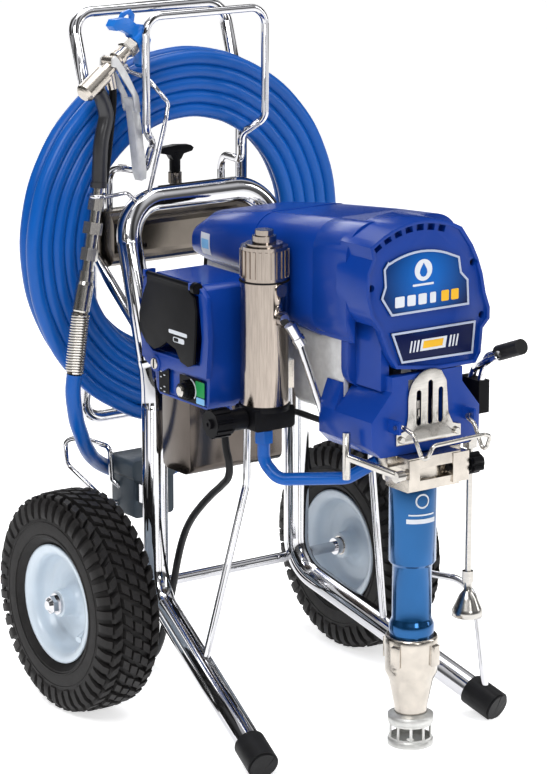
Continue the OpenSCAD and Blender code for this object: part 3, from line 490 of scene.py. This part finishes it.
def plug_pins():
    """Two flat pins and a round one on the end of the mains plug."""
    shape = Shape()
    for f in (-208.5, -195.5):
        shape.block(at(-204.5, f, 59), (0.0085, 0, 0), (0, 0.0008, 0), (0, 0, 0.0032))
    shape.rod(at(-196, -202, 52), at(-211, -202, 52), 0.0024, 12)
    return shape.make("plug_pins", MATS["bright_steel"])


plug_pins()


# ---------------------------------------------------------------- wheels
WHEEL_X = 258
WHEEL_F = 25
WHEEL_Z = 165


def tyre(side, name):
    """A turf tyre: a smooth carcass, five rows of staggered tread blocks and ribs down each shoulder."""
    body = "wheel_left" if side < 0 else "wheel_right"
    centre = at(side * WHEEL_X, WHEEL_F, WHEEL_Z)
    shape = Shape()
    h = 46.5
    outer = [(84, 14 - h), (93, 9 - h), (100, 1 - h), (110, -0.3 - h), (121, -h), (136, 2 - h), (147, 9 - h),
             (155, 20 - h), (158.5, 32 - h), (159.5, 0)]
    outer += [(r, -a) for r, a in reversed(outer[:-1])]
    inner = [(80, h - 17), (118, h - 7), (134, h - 10), (146, h - 22), (150, 0), (146, 22 - h), (134, 10 - h),
             (118, 7 - h), (80, 17 - h)]
    shape.lathe([(r * MM, a * MM) for r, a in outer + inner], centre, (1, 0, 0), (0, 0, 1), 96)

    def lug(angle, across, r0, r1, half_a, half_w, skew):
        """A tread block: a bevelled box whose top is a little smaller than its foot."""
        out = Vector((0, math.cos(angle), math.sin(angle)))
        round_ = Vector((0, -math.sin(angle), math.cos(angle)))
        wide = Vector((1, 0, 0))
        top, foot = [], []
        for i, j in ((-1, -1), (1, -1), (1, 1), (-1, 1)):
            slip = skew * i
            foot.append(centre + out * r0 + wide * (across + i * half_w) + round_ * (j * half_a + slip))
            sideways = wide * (across + i * half_w * 0.84)
            top.append(centre + out * r1 + sideways + round_ * (j * half_a * 0.8 + slip))
        sides = [(k, (k + 1) % 4, (k + 1) % 4 + 4, k + 4) for k in range(4)]
        shape.add(foot + top, [(3, 2, 1, 0), (4, 5, 6, 7)] + sides)

    count = 44
    for row, (across, r1, half_w) in enumerate(((-31, 162.0, 6.8), (-15.5, 164.6, 7.0), (0, 165.0, 7.2),
                                                (15.5, 164.6, 7.0), (31, 162.0, 6.8))):
        for k in range(count):
            angle = 2 * math.pi * (k + 0.5 * (row % 2)) / count
            skew = (4.2 if row % 2 else -4.2) * MM
            lug(angle, across * MM, 0.152, r1 * MM, 0.0083, half_w * MM, skew if row != 2 else 0.003)
    # shoulder lugs lean over the edge and run down the sidewall
    for k in range(count):
        for s in (-1, 1):
            angle = 2 * math.pi * (k + 0.5 * (s > 0)) / count
            out = Vector((0, math.cos(angle), math.sin(angle)))
            round_ = Vector((0, -math.sin(angle), math.cos(angle)))
            half = 0.0068
            top = [(157.5, 39.5), (150.5, 45.2), (139, 47.4), (128 if k % 2 else 133, 47.6)]
            low = [(150, 33), (145, 38), (136, 43), (126, 44.5)]
            ring = []
            for (r, a) in top + list(reversed(low)):
                ring.append((r * MM, s * a * MM))
            m = len(ring)
            verts = [centre + out * r + Vector((a, 0, 0)) + round_ * (j * half * (0.85 if i < 4 else 1))
                     for j in (-1, 1) for i, (r, a) in enumerate(ring)]
            faces = [tuple(range(m)), tuple(range(2 * m - 1, m - 1, -1))]
            faces += [(i + m, (i + 1) % m + m, (i + 1) % m, i) for i in range(m)]
            shape.add(verts, faces)
    # moulded rings on both sidewalls
    for s in (-1, 1):
        for r, w in ((104, 1.4), (123, 1.0)):
            ring = [centre + Vector((s * 46.2 * MM, r * MM * math.cos(t), r * MM * math.sin(t)))
                    for t in (2 * math.pi * i / 80 for i in range(80))]
            shape.sweep(ring, w * MM, 6, closed=True)
    obj = shape.make(name, MATS["tyre_rubber"], body)
    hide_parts("tyre_left" if side < 0 else "tyre_right")
    return obj


tyre(-1, "tyre_tread_left")
tyre(1, "tyre_tread_right")


# ---------------------------------------------------------------- gun
GUN_TAIL = at(-213, -10, 910)
GUN_TURN = math.radians(12)
GUN_RISE = math.radians(33)
GUN_T = Vector((math.cos(GUN_TURN), math.sin(GUN_TURN), 0))
GUN_O = Vector((math.sin(GUN_TURN), -math.cos(GUN_TURN), 0))


def gun_at(t, h, o=0):
    """A place on the gun: along it, up, and out to the side, from the tail of its barrel."""
    return GUN_TAIL + (GUN_T * t + GUN_O * o + Vector((0, 0, h))) * MM


def helix(a, b, r, turns, steps=16):
    """Points of a coil spring from a to b."""
    axis = (b - a).normalized()
    x = axis.orthogonal().normalized()
    y = axis.cross(x)
    n = round(turns * steps)
    out = []
    for i in range(n + 1):
        across, upward = turned(r, 2 * math.pi * i / steps)
        out.append(a + (b - a) * (i / n) + x * across + y * upward)
    return out


def on_barrel(s, u=0, o=0):
    """A place on the tilted barrel: along it, across it, and out to the side."""
    c, d = math.cos(GUN_RISE), math.sin(GUN_RISE)
    return gun_at(s * c - u * d, s * d + u * c, o)


def gun():
    """The gun in metal and dark grip, over the same lines as its CAD solid."""
    barrel = Shape()
    for a, b, r, r2 in ((-4, -2, 9.6, 12), (-2, 1, 12, 14.5), (1, 44, 14.5, 14.5), (44, 46, 14.5, 11),
                        (46, 77, 10.4, 10.4), (76, 78, 11.5, 13), (78, 85, 13, 13), (85, 87, 13, 10.5),
                        (87, 100, 10.5, 10.5)):
        barrel.rod(on_barrel(a), on_barrel(b), r * MM, 32, r2 * MM)
    barrel.rod(on_barrel(66, 8, -10.3), on_barrel(66, 8, 10.3), 0.007)
    barrel.rod(on_barrel(30, -8), gun_at(30, -4), 0.009, 24, 0.008)
    barrel.rod(on_barrel(56, -5), gun_at(56, 2), 0.0085, 24, 0.0075)
    body = barrel.make("gun_barrel", MATS["nickel"])
    nut = Shape()
    nut.rod(on_barrel(99), on_barrel(101), 0.0128, 6, 0.0152)
    nut.rod(on_barrel(101), on_barrel(114), 0.0152, 6)
    nut.rod(on_barrel(114), on_barrel(116), 0.0152, 6, 0.0128)
    nut.make("gun_nut", MATS["bright_steel"], smooth=False)
    grip = Shape()
    line = [(26, 2), (34, -10), (40, -24), (42.5, -36), (40, -48), (35, -62), (31, -80), (29, -100),
            (27.5, -120), (26, -139)]
    grip.sweep([gun_at(t, h) for t, h in spline2(line, 6)], 0.0112, 24)
    grip.rod(gun_at(26.2, -132), gun_at(25.6, -140), 0.0125, 28)
    grip.make("gun_grip", MARKS["grip"])
    pipe = Shape()
    line = [(56, 12), (57, -4), (56, -24), (52, -50), (47, -80), (42, -110), (37, -136)]
    pipe.sweep([gun_at(t, h) for t, h in spline2(line, 6)], 0.0058, 16)
    pipe.make("gun_fluid_tube", MATS["black_plastic"])
    low = Shape()
    low.rod(gun_at(26, -133), gun_at(22, -156), 0.0085)
    low.rod(gun_at(22.4, -155), gun_at(18.4, -173), 0.0125, 6)
    low.rod(gun_at(18.8, -171), gun_at(14, -194), 0.0086)
    low.rod(gun_at(14.6, -190), gun_at(10.6, -207), 0.0148, 6)
    low.rod(gun_at(11.4, -203), gun_at(6.6, -228), 0.0102)
    low.rod(gun_at(6.8, -227), gun_at(2.8, -245), 0.0132, 6)
    low.rod(gun_at(3.2, -243), gun_at(-4, -274), 0.0086)
    low.rod(gun_at(-1, -260), gun_at(-4.6, -277), 0.0114)
    low.rod(gun_at(-4, -275), gun_at(-5.2, -280), 0.0115, 28, 0.013)
    low.rod(gun_at(-5, -280), gun_at(-14.2, -317), 0.013)
    low.rod(gun_at(-14, -317), gun_at(-15, -320), 0.013, 28, 0.0115)
    low.make("gun_fittings", MATS["bright_steel"])
    core = Shape()
    core.rod(gun_at(-14.6, -318), gun_at(-28.9, -409.6), 0.0114)
    core.make("hose_end_sleeve", MATS["dark_chrome"])
    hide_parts("gun_body")


def spline2(points, steps):
    """A smooth plane line through points."""
    out = []
    for i in range(len(points) - 1):
        p0, p1, p2, p3 = (points[max(0, min(len(points) - 1, i + k))] for k in (-1, 0, 1, 2))
        for n in range(steps):
            t = n / steps
            place = []
            for a, b, c, d in zip(p0, p1, p2, p3):
                cubic = (3 * b - a - 3 * c + d) * t ** 3
                place.append(0.5 * (2 * b + (c - a) * t + (2 * a - 5 * b + 4 * c - d) * t * t + cubic))
            out.append(tuple(place))
    return out + [tuple(points[-1])]


gun()


def spring_guard():
    """The wire spring over the end of the gun's hose."""
    shape = Shape()
    shape.sweep(helix(gun_at(-15, -321), gun_at(-28.8, -408), 0.0128, 22, 16), 0.0016, 6)
    return shape.make("hose_spring", MATS["bright_steel"])


spring_guard()


# ---------------------------------------------------------------- labels and marks
COVER_F = 519


def cover_print(name, outlines, mat, lift=0.5):
    """Printed shapes on the front cover's labels, given in X and Z."""
    shape = Shape()
    for outline in outlines:
        shape.prism([(x * MM, z * MM) for x, z in outline], at(0, COVER_F - 0.3, 0), (1, 0, 0), (0, 0, 1),
                    lift * MM)
    return shape.make(name, mat, smooth=False)


MAIN_LABEL = [(-58, 658), (-76, 684), (-70, 700), (-72, 724), (-64, 734)] + [
    (-8 + 134 * math.cos(math.radians(a)), 610 + 134 * math.sin(math.radians(a)))
    for a in [114 - 4.8 * i for i in range(11)]] + [(58, 728), (62, 706), (74, 694), (76, 658)]
LOWER_LABEL = [(-40, 590), (-58, 634), (88, 634), (84, 588)]


def border(name, outline, width, mat, lift=0.9):
    """A raised line all round just inside an outline."""
    n = len(outline)
    inner = []
    for i in range(n):
        (ax, az), (bx, bz), (cx, cz) = outline[i - 1], outline[i], outline[(i + 1) % n]
        n1 = Vector((bz - az, ax - bx)).normalized()
        n2 = Vector((cz - bz, bx - cx)).normalized()
        m = (n1 + n2)
        m = m * (width / max(0.3, m.dot(n1)))
        inner.append((bx + m.x, bz + m.y))
    shape = Shape()
    y = COVER_F
    out = [at(x, y + lift, z) for x, z in outline] + [at(x, y + lift, z) for x, z in inner]
    out += [at(x, y - 0.3, z) for x, z in outline] + [at(x, y - 0.3, z) for x, z in inner]
    faces = []
    for i in range(n):
        j = (i + 1) % n
        faces += [(i, j, n + j, n + i), (i, 2 * n + i, 2 * n + j, j), (n + i, n + j, 3 * n + j, 3 * n + i)]
    shape.add(out, faces)
    return shape.make(name, mat, smooth=False)


border("label_main_border", MAIN_LABEL, 3.0, MARKS["border"])
border("label_lower_border", LOWER_LABEL, 3.0, MARKS["border"])
cover_print("label_emblem", [move(circle(15, 40), -4, 716)], MARKS["white"], 0.7)
DROP = [(0, 10), (5.5, 1), (6.5, -3.5), (4, -8), (0, -9.5), (-4, -8), (-6.5, -3.5), (-5.5, 1)]
cover_print("label_emblem_core", [move(DROP, -4, 716)], MATS["label_film"], 1.1)
WHITE_BARS = ((-44, 16), (-24, 14), (-5, 14), (13, 10))
cover_print("label_bars", [move(rounded_rect(36, 3.0, 1.2), -4, 696)]
            + [move(rounded_rect(w, 15, 2), x, 676) for x, w in WHITE_BARS], MARKS["white"], 0.7)
cover_print("label_accent", [move(rounded_rect(13, 15, 2), x, 676) for x in (34, 51)], MARKS["yellow"], 0.7)


def leaning(w, h, lean):
    """A bar's outline round (0, 0) whose top leans to the right."""
    return [(-w / 2 - lean, -h), (-w / 2 + lean, h), (w / 2 + lean, h), (w / 2 - lean, -h)]


LEANING_BARS = ((-24, 2.4), (-18, 2.4), (-12, 3), (15, 44), (44, 3), (50, 2.4), (56, 2.4))
cover_print("label_lower_bars", [move(leaning(w, 8, 1.5), x, 611) for x, w in LEANING_BARS],
            MARKS["white"], 0.7)
cover_print("label_lower_accent", [move(leaning(34, 5, 1), 14, 611.5)], MARKS["yellow"], 1.1)


# ---------------------------------------------------------------- control box details
def side_print(name, outlines, x, mat, lift=0.5, body="cart", smooth=False):
    """Flat shapes on a face that looks to the left, given in F and Z."""
    shape = Shape()
    for outline in outlines:
        shape.prism([(-f * MM, z * MM) for f, z in outline], at(x, 0, 0), (0, 1, 0), (0, 0, 1), -lift * MM)
    return shape.make(name, mat, body, smooth)


def control_details():
    """Prints, knob cap and ribs, a screw whose slot is painted shade, and flap edging on the control box."""
    side_print("switch_strip", [move(rounded_rect(26, 36, 2), 170, 519)], -197.6, MATS["black_plastic"], 0.6)
    side_print("dial_field", [move(rounded_rect(56, 36, 2), 238, 519)], -197.6, MATS["black_plastic"],
               0.6)
    side_print("dial_green", [move(rounded_rect(22, 22, 2), 262, 524)], -197.9, MARKS["green"], 0.7)
    side_print("dial_field_blue", [move(rounded_rect(20, 9, 1.5), 263, 507)], -198.0,
               MARKS["light_blue"], 0.7)
    side_print("switch_marks", [move(rounded_rect(4, 1.4, 0.4), 165 + 9 * (k % 2), z) for k, z in
                                enumerate((532, 528, 524, 511, 507, 504))], -200.0, MARKS["white"], 0.5)
    arc = [turned(17, math.radians(-40 + 8 * i)) for i in range(16)]
    arc += [turned(15.4, math.radians(80 - 8 * i)) for i in range(16)]
    side_print("dial_ring", [move(arc, 236, 519)], -198.4, MARKS["white"], 0.8)
    cap = Shape()
    cap.lathe([(0, 0), (8.6 * MM, 0), (8.6 * MM, 1.6 * MM), (6.5 * MM, 3 * MM), (0, 3 * MM)],
              at(-213.6, 236, 519), (-1, 0, 0), (0, 0, 1), 40)
    cap.make("dial_cap", MATS["bright_steel"], "dial")
    ribs = Shape()
    for k in range(18):
        a = 2 * math.pi * k / 18
        ribs.block(at(-202.4, 236 - 13 * math.sin(a), 519 + 13 * math.cos(a)), (0.0042, 0, 0),
                   Vector((0, math.cos(a), math.sin(a))) * 0.0011,
                   Vector((0, -math.sin(a), math.cos(a))) * 0.0009)
    ribs.make("dial_ribs", MATS["black_plastic"], "dial")
    screw = Shape()
    screw.lathe([(0, 0), (8.2 * MM, 0), (8.2 * MM, 1.8 * MM), (7.2 * MM, 2.6 * MM), (0, 2.6 * MM)],
                at(-205.6, 158, 543), (-1, 0, 0), (0, 0, 1), 36)
    screw.make("box_screw", MATS["bright_steel"])
    # Painted shade: a near-black strip stands for the shadowed slot of the screw.
    side_print("box_screw_slot_shade", [[(156.8, 536.4), (159.2, 536.4), (159.2, 549.6), (156.8, 549.6)]], -207.9,
               MARKS["painted_shade"], 0.7)
    bars = [move(rounded_rect(46, 5.4, 1.5), 226, 600), move(rounded_rect(28, 7.5, 3), 228, 590)]
    side_print("flap_marks", bars, -210.8, MARKS["white"], 0.6, "flap")
    side_print("flap_mark_core", [move(rounded_rect(11, 5, 2), 222, 590)], -211.2,
               MATS["black_plastic"], 0.7, "flap")
    edge = Shape()
    rim = [(255, 664), (266, 658), (270, 640), (268, 600), (264, 562)]
    for a, b in zip(rim, rim[1:]):
        edge.rod(at(-209.2, a[0], a[1]), at(-209.2, b[0], b[1]), 0.0013, 8)
    edge.make("flap_edge", MATS["black_plastic"], "flap")
    hinge = Shape()
    hinge.rod(at(-206.5, 261.6, 671), at(-206.5, 270, 671), 0.0082, 28)
    hinge.rod(at(-206.5, 270, 671), at(-206.5, 271.2, 671), 0.0072, 28)
    hinge.make("flap_hinge_end", MATS["black_plastic"])


control_details()


def screws():
    """Socket screws on the front cover, the guard plate and the drive housing, and near-black discs of
    painted shade in three of the screw recesses.
    """
    shape = Shape()
    for x, f, z, r in ((-90, 500, 700, 4.4), (101, 500, 640, 4.4), (84, 500, 716, 4.4), (-44, 525, 484, 4.8),
                       (52, 525, 484, 4.8)):
        shape.lathe([(0, 0), (r * MM, 0), (r * MM, 0.0032), (r * 0.8 * MM, 0.0042), (0, 0.0042)],
                    at(x, f, z), (0, -1, 0), (0, 0, 1), 24)
    shape.make("cover_screws", MATS["bright_steel"])
    # Painted shade: near-black discs stand for the shadow inside three screw recesses.
    painted_shade = Shape()
    for x, z in ((-90, 700), (101, 640), (84, 716)):
        painted_shade.rod(at(x, 506, z), at(x, 508.6, z), 0.0046, 20)
    painted_shade.make("cover_recess_shade", MARKS["painted_shade"])


screws()


def fittings():
    """Small pieces that the photograph shows beside the main castings."""
    ribs = Shape()
    for f in (150, 190, 230, 270, 304):
        for k in range(9):
            t = math.radians(196 + 9 * k)
            out = Vector((math.cos(t), 0, math.sin(t)))
            along = Vector((-math.sin(t), 0, math.cos(t)))
            ribs.block(at(0, f, 655) + out * 0.0716, out * 0.0022, (0, 0.0016, 0), along * 0.0058)
    for f in (170, 250):
        for t in (math.radians(208), math.radians(236)):
            out = Vector((math.cos(t), 0, math.sin(t)))
            ribs.rod(at(0, f, 655) + out * 0.070, at(0, f, 655) + out * 0.0755, 0.006, 6)
    ribs.make("casting_ribs", MATS["cast_alloy"])
    # Painted shade: a thin near-black ring stands for the shadowed joint where the filter bowl meets its
    # base.
    groove_shade = Shape()
    groove_shade.lathe([(0.0270, -0.0009), (0.0354, -0.0009), (0.0354, 0.0009), (0.0270, 0.0009)],
                 at(-130, 322, 684), (0, 0, 1), (0, -1, 0), 48)
    groove_shade.make("filter_groove_shade", MARKS["painted_shade"])
    bracket = Shape()
    bracket.block(at(104.4, 497.2, 523), (0.0092, 0, 0), (0, 0.0236, 0), (0, 0, 0.0234))
    bracket.make("handle_bracket", MATS["black_plastic"])


fittings()


def draped(name, target, place, across, up, mat, lift=0.4):
    """A thin sheet laid on a piece's left side; place is its middle as F and Z."""
    obj = frame["nodes"][target]
    tree = BVHTree.FromPolygons([obj.matrix_world @ v.co for v in obj.data.vertices],
                                [tuple(p.vertices) for p in obj.data.polygons])
    n = 6
    verts, faces = [], []
    for i in range(n + 1):
        for j in range(n + 1):
            start = at(-300, place[0] + across * (i / n - 0.5), place[1] + up * (j / n - 0.5))
            hit = tree.ray_cast(start, Vector((1, 0, 0)))[0]
            if hit is None:
                return
            verts.append(hit - Vector((lift * MM, 0, 0)))
    for i in range(n):
        for j in range(n):
            a = i * (n + 1) + j
            faces.append((a, a + n + 1, a + n + 2, a + 1))
    add_mesh(name, verts, faces, mat)


draped("sticker", "shroud", (116, 697), 26, 32, MARKS["white"], 0.4)
draped("sticker_panel", "shroud", (116, 697), 20, 14, MARKS["light_blue"], 0.7)


def sleeve_emblem():
    """A plain ring and two bars printed round the front of the pump sleeve."""
    shape = Shape()
    r = 33.9
    centre_x, centre_f = 0, 496
    middle = math.radians(-14)

    def curved(outline_points, faces):
        verts = []
        for side, z in outline_points:
            a = middle + side / r
            verts.append(at(centre_x + r * math.sin(a), centre_f + r * math.cos(a), z))
        shape.add(verts, faces)

    n = 28
    ring = move(circle(10.5, n) + circle(8.2, n), 0, 392)
    curved(ring, [(i, (i + 1) % n, n + (i + 1) % n, n + i) for i in range(n)])
    for z, w, h in ((372, 20, 2.2), (363, 23, 6.5)):
        m = 8
        strip = [(-w + 2 * w * i / m, z + j * h / 2) for j in (-1, 1) for i in range(m + 1)]
        curved(strip, [(i, i + 1, i + m + 2, i + m + 1) for i in range(m)])
    shape.make("sleeve_print", MARKS["white"], smooth=False)


sleeve_emblem()


# ---------------------------------------------------------------- floor and light
def studio():
    """A pale floor, a banded soft surround and five area lamps."""
    size = 60
    mesh = bpy.data.meshes.new("floor")
    corners = [(-size, -size, 0), (size, -size, 0), (size, size, 0), (-size, size, 0)]
    mesh.from_pydata(corners, [], [(0, 1, 2, 3)])
    floor = bpy.data.objects.new("floor", mesh)
    bpy.context.scene.collection.objects.link(floor)
    white = material("floor", (0.95, 0.95, 0.95), 0, 0.6, 0.004, 0.3)
    white.node_tree.nodes["Principled BSDF"].inputs["Emission Color"].default_value = (1, 1, 1, 1)
    white.node_tree.nodes["Principled BSDF"].inputs["Emission Strength"].default_value = 0.64
    mesh.materials.append(white)

    world = bpy.data.worlds.new("studio")
    world.use_nodes = True
    bpy.context.scene.world = world
    nodes, links = world.node_tree.nodes, world.node_tree.links
    place = nodes.new("ShaderNodeTexCoord")
    split = nodes.new("ShaderNodeSeparateXYZ")
    ramp = nodes.new("ShaderNodeValToRGB")
    links.new(place.outputs["Generated"], split.inputs["Vector"])
    links.new(split.outputs["Z"], ramp.inputs["Fac"])
    stops = ((0.0, 0.10), (0.30, 0.10), (0.42, 0.30), (0.55, 0.55), (0.8, 0.75), (1.0, 0.7))
    ramp.color_ramp.elements[0].position = stops[0][0]
    ramp.color_ramp.elements[0].color = (stops[0][1],) * 3 + (1,)
    ramp.color_ramp.elements[1].position = stops[-1][0]
    ramp.color_ramp.elements[1].color = (stops[-1][1],) * 3 + (1,)
    for position, value in stops[1:-1]:
        element = ramp.color_ramp.elements.new(position)
        element.color = (value, value, value * 1.01, 1)
    turn = nodes.new("ShaderNodeMath")
    turn.operation = "ARCTAN2"
    links.new(split.outputs["Y"], turn.inputs[0])
    links.new(split.outputs["X"], turn.inputs[1])
    wave = nodes.new("ShaderNodeMath")
    wave.operation = "MULTIPLY"
    wave.inputs[1].default_value = 5
    links.new(turn.outputs["Value"], wave.inputs[0])
    sine = nodes.new("ShaderNodeMath")
    sine.operation = "SINE"
    links.new(wave.outputs["Value"], sine.inputs[0])
    strength = nodes.new("ShaderNodeMapRange")
    strength.inputs["From Min"].default_value = -0.7
    strength.inputs["From Max"].default_value = 0.7
    strength.inputs["To Min"].default_value = 0.12
    strength.inputs["To Max"].default_value = 1.35
    links.new(sine.outputs["Value"], strength.inputs["Value"])
    links.new(ramp.outputs["Color"], nodes["Background"].inputs["Color"])
    links.new(strength.outputs["Result"], nodes["Background"].inputs["Strength"])

    def lamp(name, place_, aim, width, height, power):
        data = bpy.data.lights.new(name, "AREA")
        data.shape = "RECTANGLE"
        data.size, data.size_y, data.energy = width, height, power
        obj = bpy.data.objects.new(name, data)
        obj.location = place_
        obj.rotation_euler = (Vector(aim) - Vector(place_)).to_track_quat("-Z", "Y").to_euler()
        bpy.context.scene.collection.objects.link(obj)

    middle = (0, 0, 0.5)
    lamp("key", (-2.2, -1.6, 3.0), middle, 1.4, 1.4, 62)
    lamp("side", (2.8, -1.6, 1.8), middle, 0.6, 2.2, 26)
    lamp("front", (-0.6, -3.8, 1.7), middle, 1.0, 0.7, 18)
    lamp("top", (0.2, 0.3, 3.4), middle, 2.2, 2.2, 56)
    lamp("back", (0.8, 3.2, 2.2), middle, 2.0, 1.2, 26)


studio()
bpy.context.scene.view_settings.view_transform = "Standard"
